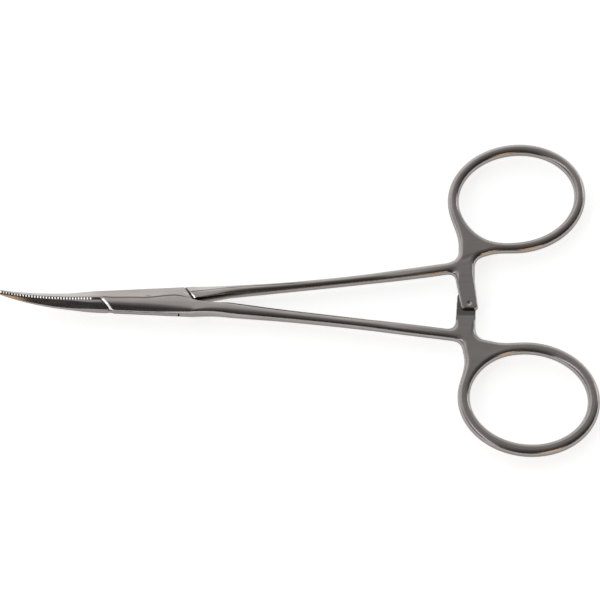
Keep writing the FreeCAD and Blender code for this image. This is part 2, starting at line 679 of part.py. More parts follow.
os.makedirs("parts", exist_ok=True)
for piece in pieces:
    shape = piece.Shape
    if shape.isNull() or not shape.isValid() or len(shape.Solids) != 1:
        raise RuntimeError(piece.Label + " is not one valid solid")
    box = shape.BoundBox
    print("%s: %.1f mm3, x %.1f to %.1f, y %.1f to %.1f, z %.1f to %.1f" % (
        piece.Label, shape.Volume, box.XMin, box.XMax, box.YMin, box.YMax, box.ZMin, box.ZMax))
    shape.exportStep("parts/%s.step" % piece.Label)
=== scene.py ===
# %% [markdown]
# # A curved haemostat in polished steel
# The forceps lie closed on a white table, tips to the left, rings to the right.
# X runs from the jaw tips to the rings, Y across the instrument, Z up, all in metres,
# and the origin is on the hinge, where the underside of the box meets the table.
# The halves come in as solids of the right size, but with crisp edges. What is left to
# make is what the eye reads as steel: the soft forged shape, the polish, the grain, and
# the room that the steel mirrors.

# %% Bring in the forged halves
import math

import bpy
from mathutils import Matrix, Vector


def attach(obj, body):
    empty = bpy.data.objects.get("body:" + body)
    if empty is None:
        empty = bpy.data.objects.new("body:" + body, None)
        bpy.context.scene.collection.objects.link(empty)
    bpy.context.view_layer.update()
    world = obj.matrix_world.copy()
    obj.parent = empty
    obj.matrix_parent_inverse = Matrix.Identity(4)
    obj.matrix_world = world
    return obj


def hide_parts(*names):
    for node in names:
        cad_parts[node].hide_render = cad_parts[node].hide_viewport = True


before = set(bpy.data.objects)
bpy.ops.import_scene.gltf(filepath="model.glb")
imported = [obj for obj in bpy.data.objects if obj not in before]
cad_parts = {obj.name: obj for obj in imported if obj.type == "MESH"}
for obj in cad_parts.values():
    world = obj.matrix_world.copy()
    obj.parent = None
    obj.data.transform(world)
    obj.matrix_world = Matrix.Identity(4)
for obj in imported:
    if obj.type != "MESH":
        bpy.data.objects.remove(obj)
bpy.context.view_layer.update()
print("pieces:", sorted(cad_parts))

# %% [markdown]
# ## The camera
# The picture was taken with a long lens from above and a little to the near side.
# The picture's frame is exactly as wide as the forceps are long, so the lens follows
# from the distance: sensor width times distance, over the width of the view.

# %% Stand the camera over the near side
VIEW_WIDTH = 0.12498
DISTANCE = 6.0
TILT = math.radians(21.0)
AIM = Vector((0.03171, 0.00045, 0.0021))

camera = bpy.data.objects.new("camera", bpy.data.cameras.new("camera"))
bpy.context.scene.collection.objects.link(camera)
bpy.context.scene.camera = camera
camera.data.sensor_width = 36.0
camera.data.lens = camera.data.sensor_width * DISTANCE / VIEW_WIDTH
camera.data.clip_start = 0.1
camera.location = AIM + DISTANCE * Vector((0.0, -math.sin(TILT), math.cos(TILT)))
camera.rotation_euler = (TILT, 0.0, 0.0)
bpy.context.scene.view_settings.view_transform = "Standard"
print("lens, mm:", round(camera.data.lens, 1))

# %% [markdown]
# ## Helpers for node trees
# A room or a material is a tree of nodes, each of which does one small thing. They
# could be set up one line at a time, but a material of forty nodes is then hard to
# read. Four helpers keep it short: one adds a node and fills in or links its inputs,
# one makes a ramp of greys, and two do sums.

# %% Helpers for node trees
def wire(tree, kind, **settings):
    """Adds a node, sets its properties and input values, and links what is linkable."""
    node = tree.nodes.new(kind)
    for name, value in settings.items():
        if hasattr(node, name) and name not in node.inputs:
            setattr(node, name, value)
        elif isinstance(value, bpy.types.NodeSocket):
            tree.links.new(value, node.inputs[name])
        else:
            node.inputs[name].default_value = value
    return node


def ramp(tree, value, stops):
    """A ramp of greys over a value; stops are (position, grey)."""
    node = wire(tree, "ShaderNodeValToRGB", Fac=value)
    while len(node.color_ramp.elements) < len(stops):
        node.color_ramp.elements.new(0.5)
    for element, (position, grey) in zip(node.color_ramp.elements, stops):
        element.position = position
        element.color = (grey, grey, grey, 1.0)
    return node.outputs["Color"]


def arithmetic(tree, operation, *values):
    """One step of arithmetic on values or sockets."""
    node = wire(tree, "ShaderNodeMath", operation=operation)
    for slot, value in zip(node.inputs, values):
        if isinstance(value, bpy.types.NodeSocket):
            tree.links.new(value, slot)
        else:
            slot.default_value = value
    return node.outputs["Value"]


def product(tree, first, *others):
    """All the values multiplied."""
    for other in others:
        first = arithmetic(tree, "MULTIPLY", first, other)
    return first


print("helpers:", [helper.__name__ for helper in (wire, ramp, arithmetic, product)])

# %% [markdown]
# ## The room
# Steel has hardly a colour of its own: it shows the room. In the picture every long
# edge that faces away from the viewer is light and every one that faces the viewer
# is dark, so the light stands behind the forceps and the near side of the room is dim.
# A sky that brightens from the near side to the far side does that from every angle
# without a lamp's hard spot, and it also fills the shadows on the table.

# %% Paint the room from dim near side to bright far side
BRIGHT_SIDE = (-0.45, 0.86, 0.24)
SKY = [(0.0, 0.03), (0.2, 0.05), (0.4, 0.11), (0.62, 0.28), (0.79, 0.58), (1.0, 0.92)]

room = bpy.data.worlds.new("room")
bpy.context.scene.world = room
room.use_nodes = True
tree = room.node_tree
tree.nodes.clear()
direction = tree.nodes.new("ShaderNodeTexCoord").outputs["Generated"]
toward_light = wire(tree, "ShaderNodeVectorMath", operation="DOT_PRODUCT")
tree.links.new(direction, toward_light.inputs[0])
toward_light.inputs[1].default_value = BRIGHT_SIDE
lit = arithmetic(tree, "MULTIPLY_ADD", toward_light.outputs["Value"], 0.5, 0.5)
background = wire(tree, "ShaderNodeBackground", Color=ramp(tree, lit, SKY), Strength=1.0)
wire(tree, "ShaderNodeOutputWorld", Surface=background.outputs["Background"])
print("room: from grey", SKY[0][1], "to", SKY[-1][1])

# %% [markdown]
# ## The table
# The picture's background is plain white. The table is a pale matt board that keeps a
# faint shadow. Part of its whiteness is a glow that only the camera and the steel's
# reflections see, so that it looks white and lights nothing.

# %% Lay the white table
TABLE_HALF = 1.5
BOARD_GREY, BOARD_GLOW = 0.86, 0.72

corners = [(-TABLE_HALF, -TABLE_HALF, 0.0), (TABLE_HALF, -TABLE_HALF, 0.0),
           (TABLE_HALF, TABLE_HALF, 0.0), (-TABLE_HALF, TABLE_HALF, 0.0)]
mesh = bpy.data.meshes.new("table")
mesh.from_pydata(corners, [], [(0, 1, 2, 3)])
table = bpy.data.objects.new("table", mesh)
bpy.context.scene.collection.objects.link(table)

board = bpy.data.materials.new("white_board")
board.use_nodes = True
tree = board.node_tree
shader = tree.nodes["Principled BSDF"]
shader.inputs["Base Color"].default_value = (BOARD_GREY, BOARD_GREY, BOARD_GREY, 1.0)
shader.inputs["Roughness"].default_value = 0.9
shader.inputs["Emission Color"].default_value = (1.0, 1.0, 1.0, 1.0)
rays = tree.nodes.new("ShaderNodeLightPath")
seen = arithmetic(tree, "MAXIMUM", rays.outputs["Is Camera Ray"], rays.outputs["Is Glossy Ray"])
seen = arithmetic(tree, "MAXIMUM", seen, rays.outputs["Is Transmission Ray"])
tree.links.new(product(tree, seen, BOARD_GLOW), shader.inputs["Emission Strength"])
table.data.materials.append(board)
print("table:", 2 * TABLE_HALF, "m square")

# %% [markdown]
# ## The lamps
# A long soft strip stands beyond the tips and slants down to the near side. Its angle
# is that at which the two bevels of the box lock mirror it into the camera,
# and so do the near left sides of the rings. A weak lamp beyond the rings lights their
# far sides. A small warm card, low on the near side, gives the tan glints on the tip of
# the lower jaw and on the rings. Steel shows the shape of a lamp, so all three are flat
# rectangles: a point lamp would be a hard spark.

# %% Stand the strip, the ring lamp and the warm card
def soft_lamp(name, place, width, height, energy, along=None):
    """A soft rectangular lamp that faces the hinge; its width runs along the given direction."""
    lamp = bpy.data.objects.new(name, bpy.data.lights.new(name, "AREA"))
    bpy.context.scene.collection.objects.link(lamp)
    lamp.data.shape = "RECTANGLE"
    lamp.data.size, lamp.data.size_y, lamp.data.energy = width, height, energy
    lamp.location = place
    back = Vector(place).normalized()
    side = Vector(along) if along else Vector((0.0, 0.0, 1.0)).cross(back)
    side = (side - back * side.dot(back)).normalized()
    lamp.rotation_euler = Matrix((side, back.cross(side), back)).transposed().to_euler()
    return lamp


strip_lamp = soft_lamp("strip_lamp", place=(-0.535, -0.497, 0.434), width=1.0, height=0.18,
                       energy=0.75, along=(-0.11, 0.65, 0.603))
ring_lamp = soft_lamp("ring_lamp", place=(0.70, 0.35, 0.12), width=0.25, height=0.18, energy=0.25)
warm_card = soft_lamp("warm_card", place=(0.17, -0.28, 0.055), width=0.11, height=0.08, energy=0.05)
warm_card.data.color = (1.0, 0.66, 0.36)
for lamp in (strip_lamp, ring_lamp, warm_card):
    print(lamp.name, "stands", round(lamp.location.length, 2), "m from the hinge")

# %% [markdown]
# ## The forged shape
# Ground and tumbled steel has hardly a flat face or a sharp edge: the faces are crowned,
# the edges are soft, and ring, web and shank flow into one another. Joined boxes and
# tubes would show every seam in the reflections. So each half is described as a field:
# a function that gives, for any point, how far outside the steel it is.
# All lengths from here on are in millimetres, and become metres when the skin is made.

# %% Sizes of the box lock, the jaws and the serrations
MID = 2.1                                       # height of the middle plane; half the box's thickness
BOX_END = 9.6                                   # from the hinge to either end of the box
BOX_HALF_JAW, BOX_HALF_SHANK = 2.13, 3.05       # half the box's width at those ends
JAW_REACH = 30.8                                # from the hinge to the tips
CURVE_START, CURVE_RADIUS = 13.2, 30.0          # where the jaws begin to curve up, and how tightly
CHEEK_FAR = {-1: 9.75, 1: 9.40}                 # the cheeks' slanted ends, jaw side and shank side
CHEEK_SLOPE = {-1: 0.88, 1: 0.63}
SHOULDER_GAP = 0.3                              # from a cheek's end to the other half's shoulder
FRONT_END = 10.4                                # behind this everything belongs to the shanks
SLOT_FAR, SLOT_SLOPE, SLOT_HALF = 9.3, 2.45 / 2.6, 0.72     # its slanted ends, half its height
BLADE_HALF, BLADE_END_GAP = 0.65, 0.35          # half the blade's thickness, room at its ends
TOOTH_PITCH, TOOTH_HALF, TOOTH_DEPTH = 0.646, 0.27, 0.3     # depth is from the middle line
TOOTH_LEAN = 0.746                              # cosine of the lean of a serration's sides
print("blade's clearance in the slot, mm:", round(SLOT_HALF - BLADE_HALF, 2))

# %% [markdown]
# The two handles are alike but not the same: in the picture the lower shank is stouter
# and its ring is larger. So the shape is written once, and each handle is a set of
# sizes. Places are given as x and distance from the middle line, so that one formula
# serves both sides. Offset, spread and bow draw a shank's centre line, and inside is its
# inner edge near the box. The bevels are those of its outer edge, and soft_from is where
# they begin to melt. The ring is an ellipse with a centre, two radii, a tilt and half the
# width of its band. The arm has a left and a right side at its root and at its tip, and
# the web has two corners of its own, between shank and arm.

# %% Sizes of the two handles
from types import SimpleNamespace

ARM_STEP, ARM_REACH, ARM_GAP = 4.33, 2.0, 0.1   # where the arm gets thin, how far it crosses, the gap
RACK_START, RACK_PITCH, RACK_DEPTH, RACK_SHARE = 0.55, 1.5, 0.45, 0.9
SHANK_START = 18.0                              # from here on the shank has its own line
HANDLE_START, HANDLE_END = 44.0, 54.0           # between these the shank turns into the handle
ROOT_X = (9.0, 11.0, 13.0, 15.5, 18.0)          # stations of the root's inner edge
SHANK_X = (9.6, 18.0, 27.5, 40.0, 58.5)         # stations of the shank's half width

UPPER = SimpleNamespace(
    side=1, inside=(0.05, 0.15, 0.38, 0.72, 1.08), half_width=(1.5, 1.24, 1.05, 1.00, 1.2),
    offset=2.32, spread=0.0765, bow=0.00085, root_bevel=1.5, neck_bevel=0.85, soft_from=10.0,
    shank_end=66.0, ring=(76.87, 23.0), radii=(13.2, 10.84), tilt=7.5, band=1.2, ease=0.55,
    arm=(64.2, 68.15), arm_tip=(65.3, 68.9), arm_top=(68.3, 10.5), web=[(64.7, 8.5), (64.7, 11.0)])
LOWER = SimpleNamespace(
    side=-1, inside=(0.0, 0.28, 0.43, 0.49, 0.52), half_width=(1.5, 1.50, 1.28, 1.16, 1.2),
    offset=2.02, spread=0.105, bow=0.0003, root_bevel=0.4575, neck_bevel=0.70, soft_from=-8.0,
    shank_end=66.8, ring=(79.3, 21.75), radii=(13.56, 11.3), tilt=7.8, band=1.33, ease=0.2,
    arm=(64.1, 68.25), arm_tip=(64.5, 68.4), arm_top=(68.4, 9.5), web=[(65.5, 7.5), (65.5, 10.8)])
print("closed length, mm:", round(JAW_REACH + LOWER.ring[0] + LOWER.radii[0] + LOWER.band, 1))

# %% [markdown]
# ## Soft joins and smooth runs
# A plain minimum of two fields is their union, and a plain maximum is their overlap,
# both with a sharp edge. Blending the two where they are nearly equal rounds that edge,
# and the width of the blend is the polish. Sizes that change along a shank are smooth
# curves through a few stations, because a kink in a size is a kink in the reflection.

# %% Soft joins and smooth runs
import numpy as np


def join(first, second, reach):
    """Union of two fields, with a blend about as wide as reach."""
    share = np.clip(0.5 + 0.5 * (second - first) / reach, 0.0, 1.0)
    return second + (first - second) * share - reach * share * (1.0 - share)


def both(first, second, reach):
    """Overlap of two fields, with an edge rounded over about reach."""
    return -join(-first, -second, reach)


def fade(place, start, end):
    """0 before start, 1 after end, smooth between."""
    t = np.clip((place - start) / (end - start), 0.0, 1.0)
    return t * t * (3 - 2 * t)


def smooth_run(place, stations, values):
    """A smooth curve through values at stations."""
    stations, values = np.asarray(stations, float), np.asarray(values, float)
    slopes = np.gradient(values, stations)
    index = np.clip(np.searchsorted(stations, place) - 1, 0, len(stations) - 2)
    width = stations[index + 1] - stations[index]
    t = np.clip((place - stations[index]) / width, 0.0, 1.0)
    start, end = (1 + 2 * t) * (1 - t) ** 2, t * t * (3 - 2 * t)
    return (start * values[index] + t * (1 - t) ** 2 * width * slopes[index]
            + end * values[index + 1] + t * t * (t - 1) * width * slopes[index + 1])


print("upper shank's half width at 50 mm:", round(float(smooth_run(50.0, SHANK_X, UPPER.half_width)), 2))

# %% [markdown]
# ## The handles
# Seen from above, a handle is a plan of four parts: the shank's strip, the ratchet arm,
# the ring's band, and a web that fills the corner between them. The plan could be a
# drawn curve, but then its blends would have to be drawn too. As fields the four parts
# blend by themselves.
# The ring comes first. It is an ellipse, and the distance to an ellipse has no plain
# formula, so the nearest point is found in three steps of Newton's method.

# %% Distance from a finger ring's centre line
def ring_distance(x, y, half):
    """How far outside the ring's centre line a point is, in plan."""
    turn = math.radians(half.side * half.tilt)
    dx, dy = x - half.ring[0], y - half.side * half.ring[1]
    u = dx * math.cos(turn) + dy * math.sin(turn)
    v = -dx * math.sin(turn) + dy * math.cos(turn)
    long, short = half.radii
    angle = np.arctan2(v / short, u / long)
    for step in range(3):
        s, c = np.sin(angle), np.cos(angle)
        slope = (u - long * c) * long * s - (v - short * s) * short * c
        bend = (u * long * c + v * short * s) + (long ** 2 - short ** 2) * (s * s - c * c)
        angle = angle - slope / np.maximum(np.abs(bend), 30.0) * np.sign(bend + 1e-9)
    away = np.hypot(u - long * np.cos(angle), v - short * np.sin(angle))
    return np.where((u / long) ** 2 + (v / short) ** 2 < 1.0, -away, away)


def ring_place(half, angle):
    """A point of the ring's centre line, as x and distance from the middle line."""
    turn, angle = math.radians(half.tilt), math.radians(angle)
    u, v = half.radii[0] * math.cos(angle), half.radii[1] * math.sin(angle)
    return (half.ring[0] + u * math.cos(turn) - v * math.sin(turn),
            half.ring[1] + u * math.sin(turn) + v * math.cos(turn))


far_side = ring_place(UPPER, 40.0)
print("a point of the ring lies", abs(round(float(ring_distance(*far_side, UPPER)), 4)), "mm from it")

# %% [markdown]
# The shank's strip follows a slightly bowed line and ends under the web. The arm leans a
# little and gets narrower towards its tip.

# %% Shank and arm, seen from above
def shank_line(x, half):
    """The shank's centre, from the middle line."""
    past = x - SHANK_START
    return half.offset + half.spread * past + half.bow * past ** 2


def shank_plan(x, across, half):
    """Distance to the sides of the shank's strip."""
    slope = half.spread + 2 * half.bow * (x - SHANK_START)
    width = smooth_run(x, SHANK_X[1:], half.half_width[1:])
    strip = np.abs(across - shank_line(x, half)) / np.sqrt(1 + slope ** 2) - width
    return both(strip, x - half.shank_end, 2.2)


def arm_plan(x, across, half):
    """Distance to the arm's edge; its sides run from its root to its tip."""
    share = np.clip((ARM_STEP - across) / (ARM_STEP + ARM_REACH), 0.0, 1.0)
    left, right = (root + (tip - root) * share for root, tip in zip(half.arm, half.arm_tip))
    arm = both(both(left - x, x - right, 0.3), -ARM_REACH - across, 0.9)
    return both(arm, across - half.arm_top[1] - 0.55 * (x - half.arm_top[0]), 0.3)


print("width of the upper arm at root and tip, mm:",
      [round(right - left, 2) for left, right in (UPPER.arm, UPPER.arm_tip)])

# %% [markdown]
# The web's outline is a patch with straight sides that reaches from the throat, where
# the shank meets the ring, to the heel, where the arm meets it. Two of its corners lie
# on the ring itself. Where the ring passes the web its inner edge is eased outward a
# little, as in the picture. Then the four parts are joined, each with its own softness.

# %% The web, and the whole plan of a handle
WEB_ON_RING = (197, 262)                        # degrees round the ring
EASED_AT = 236


def web_plan(x, across, half):
    """Distance to the edge of the web; its corners run clockwise in (x, across)."""
    corners = half.web + [ring_place(half, angle) for angle in WEB_ON_RING]
    field = None
    for (x1, y1), (x2, y2) in zip(corners, corners[1:] + corners[:1]):
        length = math.hypot(x2 - x1, y2 - y1)
        edge = ((x - x1) * (y1 - y2) + (across - y1) * (x2 - x1)) / length
        field = edge if field is None else both(field, edge, 0.2)
    return field


def handle_plan(x, y, half):
    """Distance to the edge of ring, shank, arm and web, seen from above."""
    across = half.side * y
    outward = ring_distance(x, y, half)
    plan = join(shank_plan(x, across, half), arm_plan(x, across, half), 2.2)
    plan = join(plan, web_plan(x, across, half), 2.0)
    plan = join(plan, np.abs(outward) - half.band, 2.6 - 1.4 * fade(x, 66.0, 69.5))
    near_x, near_y = ring_place(half, EASED_AT)
    ease = half.ease * np.exp(-((x - near_x) ** 2 + (across - near_y) ** 2) / 30.0)
    return both(plan, -(outward + half.band - ease), 0.25)


print("ring band at its far side, mm:", round(-2 * float(handle_plan(*far_side, UPPER)), 2))

# %% [markdown]
# The section of a handle is a pillow: full height in the middle of a strip, and falling
# off to its edge in a quarter ellipse. So the plan's own distance is enough to give the
# whole handle its thickness. The ratchet arms are half as thick, so that one passes over
# the other, and each has a rack of saw teeth on the face that meets the other.

# %% The pillow section, and the half-thick arm with its rack
HOLLOW_PLACE, HOLLOW_RADIUS = (66.95, -0.75, 1.75), 0.62    # the small pit on the upper arm


def pillow(plan, across, height):
    """The edges fall off fast on the thin arm and slowly on the rings and shanks."""
    fall = 0.35 + 0.75 * fade(across, 3.2, 7.5)
    top = 1.33 + 0.07 * fade(across, 9.0, 14.0)
    rim = np.maximum(1.0 + plan / fall, 0.0)
    return (np.sqrt(rim ** 2 + (height / top) ** 2) - 1.0) * np.minimum(fall, top)


def handle(x, y, z, half):
    """One handle; up is the height on the side where its arm is kept."""
    across, height = half.side * y, z - MID
    up = half.side * height
    body = pillow(handle_plan(x, y, half), across, height)
    body = both(body, -both(across - ARM_STEP, up - ARM_GAP / 2, 0.05), 0.12)
    run = RACK_SHARE * RACK_PITCH
    for number in range(3):
        low = RACK_START - ARM_REACH + number * RACK_PITCH
        ceiling = ARM_GAP / 2 + RACK_DEPTH * (across - low) / run
        tooth = np.maximum(np.maximum(low - across, across - low - run), (up - ceiling) * 0.95)
        body = both(body, -tooth, 0.06)
    if half.side > 0:
        dx, dy, dz = x - HOLLOW_PLACE[0], across - HOLLOW_PLACE[1], up - HOLLOW_PLACE[2]
        body = both(body, HOLLOW_RADIUS - np.sqrt(dx ** 2 + dy ** 2 + dz ** 2), 0.1)
    return body


crown = handle(*far_side, MID + 1.4, UPPER)
print("the top of the ring's band is", abs(round(float(crown), 3)), "mm from 1.4 mm up")

# %% [markdown]
# ## The bar
# Jaw, box and upper shank are one bar of bevelled section: a crowned face, a bevel that
# falls to each side, and upright sides. A box with bevelled edges could be bent into
# shape, but its bevels couldn't change width along the bar, as the grinder's do. Here
# each plane of the section is a field, and their soft overlap is the bar. The softness
# grows along the shank, so that the crisp bevels of the box melt into the round shank.

# %% A bevelled bar
def bar(across, height, inner, outer, inner_crease, outer_crease, thick, soft, crown,
        soft_inner=None, upright=0.49):
    """Section between inner and outer; the creases are where the face ends on each side."""
    soft_inner = soft if soft_inner is None else soft_inner
    rise = np.abs(height)
    drop = thick - upright * thick
    face = rise - thick + crown * (across - 0.5 * (inner_crease + outer_crease)) ** 2
    run = outer - outer_crease
    outer_bevel = (drop * (across - outer_crease) + run * (rise - thick)) / np.hypot(run, drop)
    field = both(both(face, outer_bevel, soft), across - outer, soft)
    run = inner_crease - inner
    inner_bevel = (drop * (inner_crease - across) + run * (rise - thick)) / np.hypot(run, drop)
    field = both(both(field, inner_bevel, soft_inner), inner - across, 0.12 + 0.5 * (soft - 0.12))
    return field - 0.17 * (soft - 0.12)


core = bar(0.0, 0.0, inner=-1, outer=1, inner_crease=-0.5, outer_crease=0.5, thick=1, soft=0.12, crown=0)
print("the middle of a bar 2 mm wide and 2 mm thick is", -round(float(core), 2), "mm deep")

# %% [markdown]
# The shank is such a bar along the handle's centre line. Near the box its section is the
# box's own: thick, with a wide bevel. Towards the handle it gets thinner and rounder.

# %% The shank
def shank(x, y, z, half):
    """From the root at the box to the handle."""
    across, height = half.side * y, z - MID
    centre, width = shank_line(x, half), smooth_run(x, SHANK_X, half.half_width)
    root, past = fade(x, 9.0, 18.0), fade(x, 14.5, 18.0)
    inner = smooth_run(x, ROOT_X, half.inside) * (1 - past) + (centre - width) * past
    outer = BOX_HALF_SHANK * (1 - root) + (centre + width) * root
    thick = smooth_run(x, SHANK_X, (MID, 1.8, 1.5, 1.4, 1.33))
    inner_bevel = smooth_run(x, SHANK_X, (0.12, 0.52, 0.47, 0.45, 0.55))
    outer_bevel = smooth_run(x, SHANK_X, (half.root_bevel, half.neck_bevel, 0.55, 0.50, 0.62))
    soft, soft_outer = (0.15 + 0.65 * fade(x, start, 26.0) for start in (10.0, half.soft_from))
    body = bar(across, height, inner, outer, inner + inner_bevel, outer - outer_bevel, thick,
               soft_outer, 0.06 + 0.08 * root, soft, 0.49 - 0.19 * root)
    return both(body, np.abs(height) - MID + 0.02, 0.05)


middle = (40.0, UPPER.side * shank_line(40.0, UPPER))
print("the upper shank's core at 40 mm is", -round(float(shank(*middle, MID, UPPER)), 2), "mm deep")

# %% [markdown]
# ## The box and the jaws
# Both jaws and the box are ground as one bar too. Its outline narrows to the tips, and
# from 13 mm on it curves up on a radius of 30 mm. The crease that runs along the box and
# the lower jaw wanders a little from side to side: it is where two hand-ground faces
# meet, so it is a run of stations and not a straight line.

# %% The box and the jaws
CREASE_X = (-30.8, -13.0, -10.0, -7.2, -3.6, -0.4, 1.2, 3.6, 5.5, 6.8, 8.4, 9.6)
CREASE_Y = (0.12, 0.50, 0.46, 0.26, 0.30, 0.24, 0.38, 0.67, 0.82, 0.70, 0.32, 0.05)
TIP_HALF, TIP_THICK = 0.57, 0.45


def jaw_share(x):
    """0 at the tips, 1 from the box on."""
    return np.clip((JAW_REACH + x) / (JAW_REACH - BOX_END), 0.0, 1.0)


def jaw_thick(x):
    """Half the thickness of a jaw, and of the box."""
    return TIP_THICK + (MID - TIP_THICK) * np.sin(0.5 * math.pi * jaw_share(x))


def jaw_curve(x):
    """How far along x the jaw has curved, and how high its middle has risen."""
    past = np.clip(-x - CURVE_START, 0.0, 0.9 * CURVE_RADIUS)
    return past, CURVE_RADIUS - np.sqrt(CURVE_RADIUS ** 2 - past ** 2)


def box_side(x):
    """Half the width of the box."""
    return BOX_HALF_JAW + (BOX_HALF_SHANK - BOX_HALF_JAW) * (x + BOX_END) / (2 * BOX_END)


def front_bar(x, y, z):
    """Both jaws and the box as one bar, tips to shank end."""
    past, rise = jaw_curve(x)
    share = jaw_share(x)
    jaw_outer = TIP_HALF + (BOX_HALF_JAW - TIP_HALF) * share + 0.55 * share * (1 - share)
    outer = np.where(-x > BOX_END, jaw_outer, box_side(x))
    slimmer = fade(-x, 11.0, 17.0)
    low_share = np.where(-x > BOX_END, 0.42 - 0.15 * slimmer, 0.42 + 0.43 * (x + BOX_END) / (2 * BOX_END))
    lean = np.cos(np.arcsin(past / CURVE_RADIUS))
    field = bar(y, (z - MID - rise) * lean, -outer, outer, -outer * low_share,
                smooth_run(x, CREASE_X, CREASE_Y), jaw_thick(x) * lean, 0.12, 0.06,
                0.15 + 0.45 * fade(x, -13.0, 2.0), 0.49 - 0.27 * slimmer)
    return both(field, -x - JAW_REACH, 0.3)


print("the tips rise, mm:", round(float(jaw_curve(-JAW_REACH)[1]), 2))

# %% [markdown]
# ## The serrations
# Fine grooves run across the faces of the jaws, square to their curve, about 0.65 mm
# apart. Separate cutters would have to be turned one by one. Here the distance along the
# curve is folded at each pitch, and one cut serves them all. The mesh can't carry them
# out to the very edge of a jaw, so they stop just short of it, and the steel's material
# draws the last bit, with a turned normal and a painted highlight.

# %% The gap between the jaws, and the serrations
def gap_line(x):
    """From the middle line to a jaw's face."""
    return 0.03 + 0.02 * jaw_share(x)


def jaw_arc(x, z):
    """Distance along the jaw's curve from where the curve starts."""
    past = jaw_curve(x)[0]
    lean = np.arctan2(past, CURVE_RADIUS - (z - MID))
    return np.where(past > 0.0, lean * CURVE_RADIUS, -x - CURVE_START)


def grooves(x, y, z):
    """Saw cuts of triangular section, 0.2 mm short of the jaw's upper and lower edge."""
    arc = jaw_arc(x, z)
    number = np.clip(np.round(arc / TOOTH_PITCH), -2, 28)
    notch = np.abs(arc - number * TOOTH_PITCH) - TOOTH_HALF * (1 - np.abs(y) / TOOTH_DEPTH)
    notch = notch * TOOTH_LEAN
    edge = np.abs(z - MID - jaw_curve(x)[1]) - jaw_thick(x)
    return np.maximum(notch, edge + 0.2)


print("serrations in 10 mm of jaw:", round(10.0 / TOOTH_PITCH, 1))

# %% [markdown]
# ## The box lock
# The halves cross here. One half is the box: two cheeks with a slot between them. The
# other passes through the slot as a thin blade. On the jaw side and on the shank side
# the cheeks end in a slanted line, and the other half's shoulders stand just off it.
# Two of these ends have a bevel that shows nearly white. White
# paint would stay white from every side, which steel doesn't. So the bevels get the
# slope at which they mirror the strip lamp, and a near-white colour on them, a painted highlight, does the
# rest.

# %% The slanted ends and their bevels
BEVEL_SINE, BEVEL_COSINE = 0.454, 0.891         # the bevels fall at 27 degrees
CHEEK_BEVEL = 0.48                              # width of the cheek's bevel
SHOULDER_PLACE = (9.95, 0.47)                   # where the shoulder's bevel meets its face
SHOULDER_SLOPE = (0.324, 0.318)


def cheek_line(x, y, sign, gap=0.0):
    """Distance beyond a slanted end of the box, on the jaw side (-1) or the shank side (+1)."""
    slope = CHEEK_SLOPE[sign]
    return (sign * x - CHEEK_FAR[sign] - gap + slope * np.abs(y)) / math.hypot(1.0, slope)


def cheek_bevel(x, y, body):
    """The bevel on the cheek's end on the jaw side; body is the field that it is cut from."""
    bevel = BEVEL_SINE * (cheek_line(x, y, -1) + CHEEK_BEVEL) + BEVEL_COSINE * body
    return np.where(y < 0.1, bevel, -1.0)


def shoulder_bevel(x, y, z):
    """The like bevel on the shank's shoulder, which widens towards the middle line."""
    return (SHOULDER_SLOPE[0] * (SHOULDER_PLACE[0] - x) + SHOULDER_SLOPE[1] * (SHOULDER_PLACE[1] - y)
            + BEVEL_COSINE * (np.abs(z - MID) - MID))


def bevel_glint(x, y, z):
    """1 on the two bevels that get a painted highlight, 0 on the rest of the steel."""
    cheek = (np.abs(cheek_bevel(x, y, front_bar(x, y, z))) < 0.03) & (x < -6.5)
    shoulder = (np.abs(shoulder_bevel(x, y, z)) < 0.03) & (x > 7.5) & (x < 10.6) & (y > 0.0)
    return ((np.abs(z - MID) > 0.9) & (cheek | shoulder)).astype(np.float32)


print("the bevels fall at", round(math.degrees(math.asin(BEVEL_SINE))), "degrees")

# %% [markdown]
# Behind the lock each half is a shank that melts into its handle, and the lock melts into
# the shank. A melt is a plain mix of two fields that nearly agree. It leaves no line
# where a union would leave a bright one.

# %% Shank and handle, and the melt between two fields
def melt(first, second, x, start, end):
    """The first field before start, the second after end."""
    share = fade(x, start, end)
    return first * (1 - share) + second * share


def rear(x, y, z, half):
    """Shank and handle; neither is worked out where nothing is left of it."""
    if np.min(x) > HANDLE_END:
        return handle(x, y, z, half)
    body = shank(x, y, z, half)
    if np.max(x) > HANDLE_START:
        body = melt(body, handle(x, y, z, half), x, HANDLE_START, HANDLE_END)
    return body


print("shank turns into handle from", HANDLE_START, "to", HANDLE_END, "mm")

# %% [markdown]
# The lower half has the upper jaw, because the halves cross. It is the front bar less two
# quarters, in which the other half's jaw and shank lie, and less the slot for the blade.

# %% The half with the box
def lower_half(x, y, z):
    """Upper jaw, box, lower shank and lower handle."""
    behind = rear(x, y, z, LOWER)
    if np.min(x) > FRONT_END:
        return behind
    whole = front_bar(x, y, z)
    jaw_quarter = np.maximum(-cheek_line(x, y, -1), y - gap_line(x))
    shank_quarter = np.maximum(-cheek_line(x, y, 1), -y - 0.05)
    front = both(both(whole, -jaw_quarter, 0.1), -shank_quarter, 0.1)
    front = both(front, cheek_bevel(x, y, whole), 0.05)
    tilt = math.hypot(1.0, SLOT_SLOPE)
    left = np.minimum(-(x + SLOT_FAR - SLOT_SLOPE * y) / tilt, y - 0.1)
    right = np.minimum((x - SLOT_FAR - SLOT_SLOPE * y) / tilt, -y - 0.05)
    slot = np.maximum(np.maximum(np.abs(z - MID) - SLOT_HALF, left), right)
    front = np.maximum(both(front, -slot, 0.08), -grooves(x, y, z))
    return melt(front, behind, x, 8.6, FRONT_END)


hinge = (0.0, 0.0, MID)
print("steel of the box half at the hinge:", bool(lower_half(*hinge) < 0.0))

